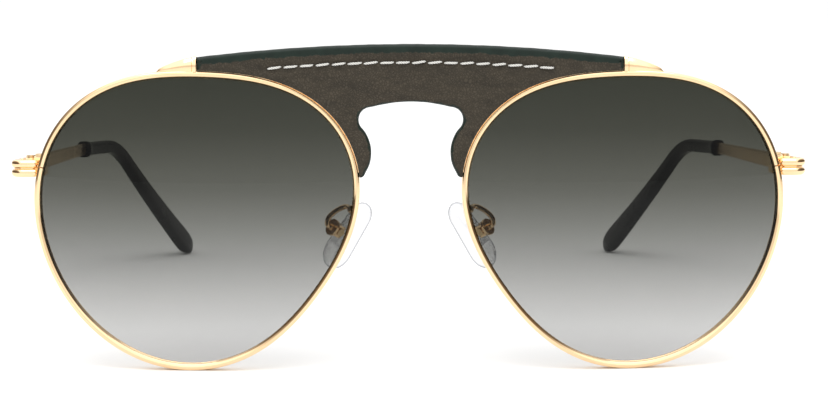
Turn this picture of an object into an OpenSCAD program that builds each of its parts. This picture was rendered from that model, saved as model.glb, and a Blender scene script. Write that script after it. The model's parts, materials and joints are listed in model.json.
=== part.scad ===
// Aviator sunglasses: gold wire rims, tinted lenses, a leather-covered keyhole
// bridge with a stitched brow, folding temples with moulded tips, and screw-on
// nose pads. Millimetres. +Z is up, the wearer looks towards -Y and the wearer's
// left side is +X. The sunglasses stand open on a table at z = 0, on the two
// rims and the two temple tips, and the origin is under the middle of the box
// around them.

/* [Lenses] */
// Width of one lens
lens_w = 55; // [52:0.5:56]
// Gap between the lenses, across the nose
lens_gap = 19; // [18.5:0.5:20]
// Thickness of a lens
lens_t = 1.8; // [1.6:0.1:1.8]
// Radius that the lens and its rim are curved to
lens_curve = 120; // [100:5:140]
// Angle at which each lens turns back towards its temple
wrap = 4; // [2:0.5:5]

/* [Lens outline] */
// Mean radius of the outline, for a 55 mm lens
outline_r = 26.4; // [26:0.1:27]
// Shift of the outline's fullness towards the temple
lean = -0.43; // [-0.6:0.01:0]
// Shift of the outline's fullness upwards
lift = 1.25; // [1:0.05:1.4]
// How much wider than tall it is
oval = 0.85; // [0.5:0.05:1]
// Fullness of the upper nose corner over the upper temple corner
sweep = 0.64; // [0.3:0.02:0.8]
// Teardrop: full upper corners and a narrow chin
teardrop = 1.33; // [1:0.01:1.5]
// Turn of the teardrop towards the nose
turn = 0.17; // [0:0.01:0.3]
// Squareness of the outline
square_off = -0.21; // [-0.3:0.01:0]
// Turn of the squareness
square_turn = 0.16; // [0:0.01:0.2]

/* [Rims] */
// Width of the rim wire, seen from the front
rim_w = 1.1; // [1:0.05:1.3]
// Depth of the rim wire, front to back
rim_d = 2; // [2:0.1:2.4]
// Height of the rim's split above the lens centre
split_z = 9.2; // [8.5:0.1:10]

/* [Bridge] */
// Thickness of each leather layer
leather_t = 0.7; // [0.6:0.05:0.8]
// Thickness of the metal plate between the leather layers
plate_t = 0.8; // [0.6:0.05:1]
// Top of the brow above the lens centres
brow_z = 30.4; // [30:0.1:31]
// Radius of the brow's top edge
brow_r = 290; // [260:10:320]
// Half the length of the leather along the brow
brow_half = 36.4; // [36:0.1:37]
// Width of the keyhole at its widest
keyhole_w = 17.9; // [17:0.1:18]
// Gap between the two nose lobes
lobe_gap = 13.6; // [13:0.1:14]
// Length of one stitch
stitch_l = 2.36; // [2:0.02:2.5]
// Distance from one stitch to the next
stitch_pitch = 2.72; // [2.6:0.02:3]
// Number of stitches
stitches = 18; // [12:1:18]

/* [Temples] */
// Distance from the middle of the front to the hinge screw
hinge_x = 66.1; // [65.5:0.1:66.5]
// Distance from the lens vertex back to the hinge screw
hinge_y = 10.5; // [10:0.1:11]
// Height of the hinge above the table
hinge_z = 34.6; // [34:0.1:35]
// Slope of the open temple, down towards the back
slope = 3.6; // [3:0.1:5]
// Length of the straight part of the temple
temple_l = 88; // [84:1:90]
// Radius of the bend over the ear
ear_r = 16; // [14:1:20]
// Angle of the bend over the ear
ear_bend = 40; // [36:1:44]
// How far the temple's end leans in towards the head
toe_in = 17.5; // [14:0.5:18]
// Distance from the hinge to the mouth of the temple tip
mouth_s = 74; // [70:1:76]

/* [Nose pads] */
// Distance of the pad's centre from the middle of the nose
pad_x = 11.2; // [11:0.05:11.6]
// Distance of the pad's centre behind the lens vertex
pad_y = 8; // [7.5:0.1:8.5]
// Height of the pad's centre above the table
pad_z = 22.9; // [22:0.1:23.5]
// Angle that the pad's top leans towards the nose
pad_lean = 33; // [30:1:36]
// Angle that the pad's face turns back towards the nose
pad_splay = 35; // [30:1:40]

/* [Hidden] */

LEFT = 1;
RIGHT = -1;
fit = 0.02;                 // gap of a soldered or seated joint
run = 0.05;                 // clearance of a part that turns
rim_steps = 96;             // points round a rim
lens_steps = 72;            // points round a lens
GOLD = [0.86, 0.68, 0.36];

// ---- the lens outline, in the lens's own upright plane; angle 0 is at the nose
outline_scale = lens_w / 55;
function outline_radius(a) = outline_scale * (outline_r
    + lean * cos(a) + lift * sin(a)
    + oval * cos(2 * a) + sweep * sin(2 * a)
    + turn * cos(3 * a) + teardrop * sin(3 * a)
    + square_off * cos(4 * a) + square_turn * sin(4 * a));
function outline_point(a) = outline_radius(a) * [-cos(a), sin(a)];
function unit(v) = v / norm(v);
function outline_normal(a) = let (d = unit(outline_point(a + 1) - outline_point(a - 1))) [-d.y, d.x];
function offset_point(a, out) = outline_point(a) + out * outline_normal(a);
function sag(p) = (p.x * p.x + p.y * p.y) / (2 * lens_curve);
function curved(p, depth) = [p.x, sag(p) + depth, p.y];

eye_x = (lens_w + lens_gap) / 2;
eye_z = rim_w / 2 - min([for (a = [180:2:359]) outline_point(a).y]);
split_a = 180 - asin(split_z / outline_radius(161));

// ---- the temple's centre line, in the hinge's own frame, and its end on the table
ear_arc = ear_r * ear_bend * PI / 180;
end_slope = slope + ear_bend;
tip_end_h = 1.9;            // half height of the tip's blunt end
leg = (hinge_z - temple_l * sin(slope) - ear_r * (cos(slope) - cos(end_slope))
    - tip_end_h * cos(end_slope)) / sin(end_slope);
temple_end = temple_l + ear_arc + leg;
temple_x = 1.8;             // from the hinge screw out to the temple's middle
function bend_angle(s) = s < temple_l ? 0 : min(ear_bend, (s - temple_l) / ear_r * 180 / PI);
function toe(s) = toe_in * pow(max(0, (s - 72) / (temple_end - 72)), 1.3);
function past(s) = max(0, s - temple_l - ear_arc);
function temple_point(s) = let (b = bend_angle(s)) [
    temple_x - toe(s),
    min(s, temple_l) + ear_r * sin(b) + past(s) * cos(ear_bend),
    -ear_r * (1 - cos(b)) - past(s) * sin(ear_bend)
];

front_y = -lens_t / 2 - lens_curve * pow(tan(wrap), 2) / 2;
back_y = hinge_y + temple_l * cos(slope) + ear_r * (sin(end_slope) - sin(slope))
    + leg * cos(end_slope) + tip_end_h * sin(end_slope);
shift_y = -(front_y + back_y) / 2;

// ---- placing
module on(side) translate([0, shift_y, 0]) mirror([side < 0 ? 1 : 0, 0, 0]) children();
module at_eye() translate([eye_x, 0, eye_z]) rotate([0, 0, wrap]) children();
module at_hinge() translate([hinge_x, hinge_y, hinge_z]) rotate([-slope, 0, 0]) children();
module at_pad() translate([pad_x, pad_y, pad_z]) rotate([0, -pad_lean, 0]) rotate([0, 0, -pad_splay])
    children();

// ---- shapes that repeat
// a solid from rings of points; the ends are closed by flat caps
module skin(rings) {
    n = len(rings[0]);
    m = len(rings);
    polyhedron(
        points = [for (r = rings) each r],
        faces = concat(
            [for (i = [0:m - 2], j = [0:n - 1])
                each let (a = i * n + j, b = i * n + (j + 1) % n, c = b + n, d = a + n)
                    [[a, b, c], [a, c, d]]],
            [[for (j = [n - 1:-1:0]) j]],
            [[for (j = [0:n - 1]) (m - 1) * n + j]]
        ),
        convexity = 6
    );
}

// the upright prism inside a rim's outline, grown by out
module rim_prism(out) at_eye() rotate([90, 0, 0])
    linear_extrude(60, center = true)
        polygon([for (i = [0:rim_steps - 1]) offset_point(i * 360 / rim_steps, out)]);

// rounded-corner section, half width a and half height b, as fractions round it
function section(a, b, n) = [for (i = [0:n - 1]) let (t = i * 360 / n + 180 / n)
    [a * sign(cos(t)) * pow(abs(cos(t)), 0.6), b * sign(sin(t)) * pow(abs(sin(t)), 0.6)]];

// a bar along the temple's line; sizes(s) gives its half width and half height
function temple_ring(s, size, n) = let (c = temple_point(s), b = bend_angle(s))
    [for (p = section(size.x, size.y, n)) c + [p.x, p.y * sin(b), p.y * cos(b)]];

// ---- the front
rim_section = let (w = rim_w / 2, d = rim_d / 2) [
    [w, 0.7 * d], [0.6 * w, d], [-0.6 * w, d], [-w, 0.75 * d], [-w, 0.45 * d],
    [-0.15, 0],
    [-w, -0.45 * d], [-w, -0.75 * d], [-0.6 * w, -d], [0.6 * w, -d], [w, -0.7 * d]
];

module rim(side) {
    half_gap = 0.2;
    turn_step = (360 - 2 * half_gap) / rim_steps;
    color(GOLD) on(side) at_eye() skin([for (i = [0:rim_steps])
        let (a = split_a + half_gap + i * turn_step)
            [for (p = rim_section) curved(offset_point(a, p.x), p.y) ]]);
}

module lens(side) {
    inset = -rim_w / 2 - 0.07;
    apex = -0.21;
    half = lens_t / 2;
    bevel = 0.4;
    rows = concat(
        [for (f = [0.05, 0.4, 0.75]) [f, inset, -half]],
        [[1, inset, -half], [1, inset, -bevel], [1, apex, 0], [1, inset, bevel], [1, inset, half]],
        [for (f = [0.75, 0.4, 0.05]) [f, inset, half]]
    );
    color([0.35, 0.36, 0.33, 0.6]) on(side) at_eye() skin([for (row = rows)
        [for (i = [lens_steps - 1:-1:0]) let (p = row[0] * offset_point(i * 360 / lens_steps, row[1]))
            curved(p, row[2])]]);
}

// ---- the bridge: its flat outline, drawn in x and z, shrunk by inset
lobe_r = 6.2;
lobe_z = 38;
lobe_bottom = 33.7;
corner_r = 2.25;
corner_z = 43.6;
arch_z = 46.75;
arch_r = 25.4;
bridge_r = 400;             // the bridge's own gentle curve, seen from above
bridge_y = 0.95;            // its middle layer behind the lens vertex
sandwich = leather_t + plate_t / 2;

module keyhole(inset) {
    corner_x = keyhole_w / 2 - corner_r;
    intersection() {
        translate([0, arch_z - arch_r]) circle(arch_r + inset, $fn = 180);
        translate([-corner_x, lobe_bottom]) square([2 * corner_x, 20]);
    }
    for (m = [-1, 1]) translate([m * corner_x, corner_z]) circle(corner_r + inset, $fn = 48);
    difference() {
        translate([-keyhole_w / 2 - 1, 20]) square([keyhole_w + 2, corner_z - 1.3 - 20]);
        for (m = [-1, 1]) translate([m * (lobe_gap / 2 + lobe_r), lobe_z])
            circle(lobe_r - inset, $fn = 96);
    }
}

module bridge_outline(inset, half_l) difference() {
    intersection() {
        translate([0, eye_z + brow_z - brow_r]) circle(brow_r - inset, $fn = 720);
        translate([-half_l, lobe_bottom + inset]) square([2 * half_l, 40]);
    }
    keyhole(inset);
}

// a layer of the bridge between two depths from its middle layer; front is negative
module bridge_layer(inset, half_l, front, back, rim_gap) translate([0, shift_y, 0]) difference() {
    intersection() {
        rotate([90, 0, 0]) linear_extrude(30, center = true) bridge_outline(inset, half_l);
        translate([0, bridge_y + bridge_r, 20]) difference() {
            cylinder(r = bridge_r - front, h = 50, $fn = 720);
            translate([0, 0, -1]) cylinder(r = bridge_r - back, h = 52, $fn = 720);
        }
    }
    for (m = [0, 1]) mirror([m, 0, 0]) rim_prism(rim_w / 2 + rim_gap);
}

module bridge_plate() color(GOLD)
    bridge_layer(0.9, brow_half + 0.33, -plate_t / 2, plate_t / 2, fit);

module leather_front() color([0.3, 0.25, 0.21])
    bridge_layer(0, brow_half, -sandwich, -plate_t / 2 - fit, 0.08);

module leather_back() color([0.3, 0.25, 0.21])
    bridge_layer(0, brow_half, plate_t / 2 + fit, sandwich, 0.08);

// the painted filler that closes the leather's free edges round the plate
module leather_edge() color([0.11, 0.17, 0.15]) difference() {
    bridge_layer(0, brow_half, -plate_t / 2 + fit, plate_t / 2 - fit, 0.08);
    bridge_layer(0.9 - fit, 100, -plate_t, plate_t, -1);
}

module stitching() {
    thread_r = 0.19;
    seam_r = brow_r - 3;
    face_r = bridge_r + sandwich + thread_r + fit;
    color("ivory") translate([0, shift_y, 0]) for (i = [0:stitches - 1]) {
        x = (i - (stitches - 1) / 2) * stitch_pitch;
        z = eye_z + brow_z - brow_r + sqrt(seam_r * seam_r - x * x);
        y = bridge_y + bridge_r - sqrt(face_r * face_r - x * x);
        translate([x, y, z]) rotate([0, 90 - 5.5 + asin(x / seam_r), asin(x / face_r)])
            cylinder(r = thread_r, h = stitch_l, center = true, $fn = 24);
    }
}

// gold cap that holds the leather's end and is soldered to the top of the rim
module brow_cap(side) {
    x0 = brow_half + 0.35;
    length = 6.7;
    y = 2.75;
    top = eye_z + brow_z - 2.15;
    color(GOLD) on(side) difference() {
        hull() {
            translate([x0 + 0.2, y, top - 1.15]) rotate([0, 90, 0]) scale([1, 1, 1])
                cylinder(r = 1.15, h = 0.4, center = true, $fn = 32);
            translate([x0 + 0.2, y, top - 3]) rotate([0, 90, 0])
                cylinder(r = 1.15, h = 0.4, center = true, $fn = 32);
            translate([x0 + length * 0.55, y + 0.2, top - 2.1]) sphere(0.95, $fn = 24);
            translate([x0 + length - 0.4, y + 0.45, top - 3.1]) sphere(0.4, $fn = 24);
        }
        rim_prism(rim_w / 2 + fit);
    }
}

// ---- end piece: two round wires side by side that leave the rim and turn back
wire_r = 0.76;
lug_corner = 1.6;
lug_x = 2.1;                // from the hinge screw out to the wires' middle
lug_front = -5.25;          // from the hinge screw forward to the wires' middle
module double_wire() {
    for (m = [-1, 1]) translate([0, m * wire_r]) circle(wire_r, $fn = 32);
    square([wire_r, 2 * wire_r], center = true);
}

module end_piece(side) color(GOLD) on(side) difference() {
    at_hinge() {
        translate([lug_x, lug_front + lug_corner, 0]) rotate([-90, 0, 0])
            linear_extrude(-lug_front - lug_corner - run) double_wire();
        translate([lug_x - lug_corner, lug_front + lug_corner, 0]) rotate([0, 0, -90])
            rotate_extrude(angle = 90, $fn = 96) translate([lug_corner, 0]) double_wire();
        translate([lug_x - lug_corner, lug_front, 0]) rotate([0, -90, 0]) rotate([0, 0, 90])
            linear_extrude(5) double_wire();
    }
    rim_prism(rim_w / 2 + fit);
}

// ---- rim lock: a block on each end of the split rim, drawn together by a screw
lock_w = 2;
lock_x = 0.7;               // from the rim's middle out to the lock's screw
lock_d = 2.3;
lock_h = 1.5;
lock_screw_r = 0.55;
module at_lock() at_eye() translate(curved(outline_point(split_a), rim_d / 2 + 0.12)) children();

module rim_lock(side, up) color(GOLD) on(side) at_lock()
    translate([lock_x, lock_d / 2, up * (lock_h / 2 + 0.1)]) difference() {
        cube([lock_w, lock_d, lock_h], center = true);
        translate([-0.3, -lock_d / 2 - 1, -2]) cube([3, 1.35, 4]);
        cylinder(r = lock_screw_r + run, h = 4, center = true, $fn = 32);
    }

module rim_lock_screw(side) color([0.75, 0.6, 0.34]) on(side) at_lock()
    translate([lock_x, lock_d / 2, 0]) difference() {
        union() {
            translate([0, 0, -lock_h]) cylinder(r = lock_screw_r, h = 2 * lock_h + 0.3, $fn = 32);
            translate([0, 0, lock_h + 0.1 + fit]) cylinder(r = 0.9, h = 0.4, $fn = 32);
        }
        translate([0, 0, lock_h + 0.5]) cube([3, 0.25, 0.4], center = true);
    }

// ---- hinge: two knuckles on the end piece, one on the temple, and a screw
knuckle_r = 1;
hinge_screw_r = 0.6;
knuckle_mid = 0.65;         // half height of the temple's knuckle
knuckle_top = 1.6;
leaf_x = 1.3;               // from the screw out to the end piece's inner side

module front_hinge(side) color(GOLD) on(side) at_hinge() difference() {
    union() {
        for (m = [0, 1]) mirror([0, 0, m]) {
            translate([0, 0, knuckle_mid + run])
                cylinder(r = knuckle_r, h = knuckle_top - knuckle_mid - run, $fn = 48);
            translate([0, -knuckle_r, knuckle_mid + run])
                cube([leaf_x, knuckle_r - run, knuckle_top - knuckle_mid - run]);
        }
        translate([leaf_x - 0.4, -3.4, -knuckle_top]) cube([0.4, 2.3, 2 * knuckle_top]);
        for (m = [0, 1]) mirror([0, 0, m]) translate([leaf_x - 0.4, -1.3, knuckle_mid + run])
            cube([0.4, 1.3 - run, knuckle_top - knuckle_mid - run]);
    }
    cylinder(r = hinge_screw_r + run, h = 8, center = true, $fn = 48);
}

temple_inner = 1.15;        // from the screw out to the temple bar's inner side
module temple_hinge(side) color(GOLD) on(side) at_hinge() difference() {
    union() {
        cylinder(r = knuckle_r, h = 2 * knuckle_mid, center = true, $fn = 48);
        translate([0, run, -knuckle_mid]) cube([temple_inner - fit, 1.4, 2 * knuckle_mid]);
        translate([temple_inner - fit - 0.4, 1.2, -1.3]) cube([0.4, 3.4, 2.6]);
    }
    cylinder(r = hinge_screw_r + run, h = 8, center = true, $fn = 48);
}

module hinge_screw(side) color([0.75, 0.6, 0.34]) on(side) at_hinge() difference() {
    union() {
        translate([0, 0, -knuckle_top]) cylinder(r = hinge_screw_r, h = 2 * knuckle_top + 0.2, $fn = 48);
        translate([0, 0, knuckle_top + fit]) cylinder(r = 0.92, h = 0.45, $fn = 48);
    }
    translate([0, 0, knuckle_top + 0.5]) cube([3, 0.25, 0.4], center = true);
}

// ---- temple: a flat bar, then a thin core that runs on inside the tip
bar_end = mouth_s + 1.5;
core_end = temple_end - 9;
core_rings = [for (i = [0:12]) bar_end + 0.6 + i * (core_end - bar_end - 0.6) / 12];
function bar_size(s) = let (t = s / bar_end) [0.65 - 0.1 * t, 1.5 - 0.35 * t];
module temple(side) color(GOLD) on(side) at_hinge() skin(concat(
    [for (s = [run, 4, 20, 36, 52, 64, 70, bar_end]) temple_ring(s, bar_size(s), 8)],
    [for (s = core_rings) temple_ring(s, [0.45, 0.65], 8)]
));

// ---- temple tip: a moulded sleeve, flared at its mouth, that widens behind the ear
function tip_size(s) = let (
    t = (s - mouth_s) / (temple_end - mouth_s),
    flare = max(0, 1 - (s - mouth_s) / 2.5),
    widen = pow(max(0, (t - 0.25) / 0.67), 1.4),
    blunt = max(0, (s - temple_end + 2.6) / 2.6)
) [
    1.25 + 0.2 * flare + 0.25 * min(1, widen) - 0.3 * pow(blunt, 3),
    1.4 + 0.35 * flare + 1.4 * min(1, widen) - (1.4 + 1.4 - tip_end_h) * pow(blunt, 1.5)
];
module temple_tip(side) {
    outer = concat(
        [mouth_s, mouth_s + 1, mouth_s + 2.5, mouth_s + 7],
        [for (i = [0:14]) temple_l - 4 + i * (temple_end - temple_l) / 15],
        [for (d = [4, 2.6, 1.8, 1, 0.4, 0]) temple_end - d]
    );
    color([0.07, 0.08, 0.075]) on(side) at_hinge() difference() {
        skin([for (s = outer) temple_ring(s, tip_size(s), 16)]);
        skin([for (s = [mouth_s - 1, mouth_s + 0.8, bar_end + 0.3])
            temple_ring(s, bar_size(s) + [0.06, 0.06], 8)]);
        skin([for (s = concat([bar_end + 0.2], core_rings, [core_end + 0.4]))
            temple_ring(s, [0.51, 0.71], 8)]);
    }
}

// ---- nose pads, in the pad's own frame: -X faces the nose and +Z is along the pad
pad_back = 0.5;
pivot = 2.1;                // from the pad's middle out to its screw
tongue_t = 0.9;
pad_screw_r = 0.4;

module nose_pad(side) color([0.93, 0.94, 0.95, 0.35]) on(side) at_pad() hull() {
    for (e = [[3.8, 2.7], [-3.2, 3.4]]) translate([0, 0, e[0]]) rotate([0, 90, 0]) {
        translate([0, 0, -1]) cylinder(r = e[1], h = 0.8, center = false, $fn = 32);
        translate([0, 0, -1.4]) cylinder(r = e[1] - 1.1, h = pad_back + 1.4, $fn = 32);
    }
}

module pad_insert(side) color([0.9, 0.91, 0.93, 0.5]) on(side) at_pad() difference() {
    union() {
        translate([pad_back + fit, -1.4, -2.4]) cube([0.4, 2.8, 4.8]);
        translate([pad_back + fit, -tongue_t / 2, -0.8]) cube([pivot - pad_back, tongue_t, 1.6]);
        translate([pivot, 0, 0]) rotate([90, 0, 0]) cylinder(r = 0.8, h = tongue_t, center = true, $fn = 32);
    }
    translate([pivot, 0, 0]) rotate([90, 0, 0]) cylinder(r = pad_screw_r + run, h = 4, center = true, $fn = 32);
}

box_t = 0.45;
box_out = pivot + 1.5;      // outer face of the box's round plate
module pad_box(side) color(GOLD) on(side) at_pad() difference() {
    inner = tongue_t / 2 + run;
    union() {
        translate([pivot - 0.65, -inner - box_t, -1.1]) cube([1.9, 2 * (inner + box_t), 2.2]);
        translate([pivot + 1, 0, 0]) rotate([0, 90, 0]) cylinder(r = 1.5, h = 0.5, $fn = 48);
    }
    translate([pivot - 2, -inner, -2]) cube([3, 2 * inner, 4]);
    translate([pivot, 0, 0]) rotate([90, 0, 0]) cylinder(r = pad_screw_r + 0.02, h = 4, center = true, $fn = 32);
}

module pad_screw(side) color([0.75, 0.6, 0.34]) on(side) at_pad() translate([pivot, 0, 0])
    rotate([90, 0, 0]) {
        cylinder(r = pad_screw_r, h = 1.95, center = true, $fn = 32);
        translate([0, 0, 0.965]) cylinder(r = 0.7, h = 0.35, $fn = 32);
    }

// wire arm from the back of the rim, out and down, round to the pad's box
function blend_curve(p, t) = let (n = len(p) - 1, k = min(n - 1, floor(t * n)), u = t * n - k,
    a = p[max(0, k - 1)], b = p[k], c = p[k + 1], d = p[min(n, k + 2)])
    0.5 * ((2 * b) + (c - a) * u + (2 * a - 5 * b + 4 * c - d) * u * u
        + (3 * b - a - 3 * c + d) * u * u * u);
module pad_arm(side) {
    arm_r = 0.45;
    steps = 22;
    line = [[10, 1.8, 28], [11.1, 4, 28.3], [12.8, 4.9, 27.5], [14.1, 5, 26.3],
        [14.4, 5.2, 25.1], [13.2, 6.2, 24.2]];
    color(GOLD) on(side) difference() {
        skin([for (i = [0:steps]) let (
            c = blend_curve(line, i / steps),
            d = unit(blend_curve(line, min(1, i / steps + 0.01)) - blend_curve(line, max(0, i / steps - 0.01))),
            u = unit(cross(d, [0.6, 0, 0.8])), v = cross(d, u))
                [for (j = [0:7]) c + arm_r * (cos(j * 45) * u - sin(j * 45) * v)]]);
        translate([10, 2.22, 28]) rotate([0, 0, -9]) translate([-3, -4, -3]) cube([6, 4, 6]);
        at_pad() translate([box_out - 5 + fit, -2.5, -2.5]) cube(5);
    }
}

rim(LEFT);  // left_rim
rim(RIGHT);  // right_rim
lens(LEFT);  // left_lens
lens(RIGHT);  // right_lens
bridge_plate();
leather_front();
leather_back();
leather_edge();
stitching();
brow_cap(LEFT);  // left_brow_cap
brow_cap(RIGHT);  // right_brow_cap
end_piece(LEFT);  // left_end_piece
end_piece(RIGHT);  // right_end_piece
rim_lock(LEFT, 1);  // left_rim_lock_upper
rim_lock(RIGHT, 1);  // right_rim_lock_upper
rim_lock(LEFT, -1);  // left_rim_lock_lower
rim_lock(RIGHT, -1);  // right_rim_lock_lower
rim_lock_screw(LEFT);  // left_rim_lock_screw
rim_lock_screw(RIGHT);  // right_rim_lock_screw
front_hinge(LEFT);  // left_front_hinge
front_hinge(RIGHT);  // right_front_hinge
temple_hinge(LEFT);  // left_temple_hinge
temple_hinge(RIGHT);  // right_temple_hinge
hinge_screw(LEFT);  // left_hinge_screw
hinge_screw(RIGHT);  // right_hinge_screw
temple(LEFT);  // left_temple
temple(RIGHT);  // right_temple
temple_tip(LEFT);  // left_temple_tip
temple_tip(RIGHT);  // right_temple_tip
pad_arm(LEFT);  // left_pad_arm
pad_arm(RIGHT);  // right_pad_arm
pad_box(LEFT);  // left_pad_box
pad_box(RIGHT);  // right_pad_box
pad_screw(LEFT);  // left_pad_screw
pad_screw(RIGHT);  // right_pad_screw
pad_insert(LEFT);  // left_pad_insert
pad_insert(RIGHT);  // right_pad_insert
nose_pad(LEFT);  // left_nose_pad
nose_pad(RIGHT);  // right_nose_pad
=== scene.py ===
import json
import math
import random

import bmesh
import bpy
import numpy as np
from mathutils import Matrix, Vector
from mathutils.geometry import delaunay_2d_cdt


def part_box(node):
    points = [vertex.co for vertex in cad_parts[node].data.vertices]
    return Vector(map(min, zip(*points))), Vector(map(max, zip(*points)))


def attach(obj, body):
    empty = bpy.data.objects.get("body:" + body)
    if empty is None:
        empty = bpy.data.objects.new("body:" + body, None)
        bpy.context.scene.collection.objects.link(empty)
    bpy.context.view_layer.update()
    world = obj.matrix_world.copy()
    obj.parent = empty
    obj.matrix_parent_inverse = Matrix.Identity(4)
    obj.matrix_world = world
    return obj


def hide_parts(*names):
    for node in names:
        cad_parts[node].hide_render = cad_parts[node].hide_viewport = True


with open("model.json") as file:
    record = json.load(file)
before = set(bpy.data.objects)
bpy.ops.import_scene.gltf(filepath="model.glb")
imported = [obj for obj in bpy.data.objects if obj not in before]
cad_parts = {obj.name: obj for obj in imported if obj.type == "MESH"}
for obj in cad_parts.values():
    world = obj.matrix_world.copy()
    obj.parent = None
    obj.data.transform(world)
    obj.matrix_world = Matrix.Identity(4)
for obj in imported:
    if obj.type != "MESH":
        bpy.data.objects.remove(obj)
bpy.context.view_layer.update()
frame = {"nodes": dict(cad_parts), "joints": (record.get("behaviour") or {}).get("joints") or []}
MM = 0.001
SIDES = (("left", 1), ("right", -1))

joints = {j["name"]: j for j in frame["joints"]}
HINGE = np.array(joints["left_temple_fold"]["pos_m"]) / MM
SHIFT_Y = HINGE[1] - 10.5
HINGE[1] = 10.5
HINGE_AXIS = np.array(joints["left_temple_fold"]["axis"])
SLOPE = math.atan2(HINGE_AXIS[1], HINGE_AXIS[2])

# ------------------------------------------------------------------ places
EYE_X, EYE_Z, WRAP, CURVE = 37.0, 26.0085, math.radians(4), 120.0
RIM_W, RIM_D, LENS_T = 1.12, 2.0, 1.8
SPLIT = math.radians(161.033)


def outline(a):
    """The lens outline at angle a, in the lens's upright plane; 0 is at the nose."""
    c, s = np.cos, np.sin
    r = (26.4 - 0.43 * c(a) + 1.25 * s(a) + 0.85 * c(2 * a) + 0.64 * s(2 * a)
         + 0.17 * c(3 * a) + 1.33 * s(3 * a) - 0.21 * c(4 * a) + 0.16 * s(4 * a))
    return np.stack([-r * c(a), r * s(a)], -1)


def outline_out(a, out):
    """The outline moved outwards by out."""
    t = outline(a + 1e-3) - outline(a - 1e-3)
    t /= np.linalg.norm(t, axis=-1, keepdims=True)
    normal = np.stack([-t[..., 1], t[..., 0]], -1)
    return outline(a) + np.asarray(out)[..., None] * normal


def eye_place(p, depth):
    """Puts flat lens points on the curved, wrapped front, depth behind its middle."""
    x, z = p[..., 0], p[..., 1]
    y = (x * x + z * z) / (2 * CURVE) + depth
    return np.stack([EYE_X + x * math.cos(WRAP) - y * math.sin(WRAP),
                     x * math.sin(WRAP) + y * math.cos(WRAP), EYE_Z + z], -1)


def hinge_place(p):
    p = np.asarray(p, float)
    c, s = math.cos(SLOPE), math.sin(SLOPE)
    return np.stack([HINGE[0] + p[..., 0], HINGE[1] + p[..., 1] * c + p[..., 2] * s,
                     HINGE[2] - p[..., 1] * s + p[..., 2] * c], -1)


PAD = (11.2, 8.0, 22.9)


def pad_place(p):
    p = np.asarray(p, float)
    a, b = math.radians(-35), math.radians(-33)
    x = p[..., 0] * math.cos(a) - p[..., 1] * math.sin(a)
    y = p[..., 0] * math.sin(a) + p[..., 1] * math.cos(a)
    z = p[..., 2]
    return np.stack([PAD[0] + x * math.cos(b) + z * math.sin(b), PAD[1] + y,
                     PAD[2] - x * math.sin(b) + z * math.cos(b)], -1)


# ------------------------------------------------------------------ meshes
def make(name, verts, faces, surface, body, replaces, side=1, sharp=None, attrs=None):
    """A mesh piece from points in millimetres, mirrored to -X where side is -1."""
    v = np.array(verts, float)
    v[:, 0] *= side
    v[:, 1] += SHIFT_Y
    mesh = bpy.data.meshes.new(name)
    mesh.from_pydata((v * MM).tolist(), [], [tuple(int(i) for i in f) for f in faces])
    mesh.update()
    bm = bmesh.new()
    bm.from_mesh(mesh)
    bmesh.ops.recalc_face_normals(bm, faces=bm.faces)
    bm.to_mesh(mesh)
    bm.free()
    mesh.shade_smooth()
    if sharp:
        mesh.set_sharp_from_angle(angle=math.radians(sharp))
    for key, values in (attrs or {}).items():
        mesh.attributes.new(key, "FLOAT", "POINT").data.foreach_set("value", np.asarray(values, np.float32))
    mesh.materials.append(surface)
    obj = bpy.data.objects.new(name, mesh)
    bpy.context.scene.collection.objects.link(obj)
    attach(obj, body)
    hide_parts(*replaces)


def join(parts):
    """Several (verts, faces) as one."""
    verts, faces, n = [], [], 0
    for v, f in parts:
        v = np.asarray(v, float).reshape(-1, 3)
        verts.append(v)
        faces += [tuple(i + n for i in face) for face in f]
        n += len(v)
    return np.concatenate(verts), faces


def loft(rings, closed=False):
    """Quads between rings of the same number of points. Ends are capped unless it closes on itself."""
    rings = np.asarray(rings, float)
    m, n = rings.shape[:2]
    faces = []
    for i in range(m if closed else m - 1):
        j = (i + 1) % m
        faces += [(i * n + k, i * n + (k + 1) % n, j * n + (k + 1) % n, j * n + k) for k in range(n)]
    if not closed:
        faces += [tuple(range(n))[::-1], tuple((m - 1) * n + k for k in range(n))]
    return rings.reshape(-1, 3), faces


def catmull(points, steps):
    p = np.asarray(points, float)
    out = []
    for t in np.linspace(0, 1, steps + 1):
        k = min(len(p) - 2, int(t * (len(p) - 1)))
        u = t * (len(p) - 1) - k
        a, b, c, d = p[max(0, k - 1)], p[k], p[k + 1], p[min(len(p) - 1, k + 2)]
        out.append(0.5 * (2 * b + (c - a) * u + (2 * a - 5 * b + 4 * c - d) * u * u
                          + (3 * b - a - 3 * c + d) * u ** 3))
    return np.array(out)


def tube(path, radius, n=16, up=(0.6, 0, 0.8)):
    """A round rod along a path; radius may vary along it."""
    path = np.asarray(path, float)
    radii = np.broadcast_to(np.asarray(radius, float), (len(path),))
    ahead = np.gradient(path, axis=0)
    ahead /= np.linalg.norm(ahead, axis=1, keepdims=True)
    u = np.array(up, float)
    a = np.arange(n) * 2 * math.pi / n
    rings = []
    for centre, r, e in zip(path, radii, ahead):
        u = u - np.dot(u, e) * e
        u /= np.linalg.norm(u)
        w = np.cross(e, u)
        rings.append(centre + r * (np.cos(a)[:, None] * u + np.sin(a)[:, None] * w))
    return loft(rings)


def arc(cx, cy, r, a0, a1, n):
    a = np.radians(np.linspace(a0, a1, n))
    return [(cx + r * math.cos(t), cy + r * math.sin(t)) for t in a]


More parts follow.
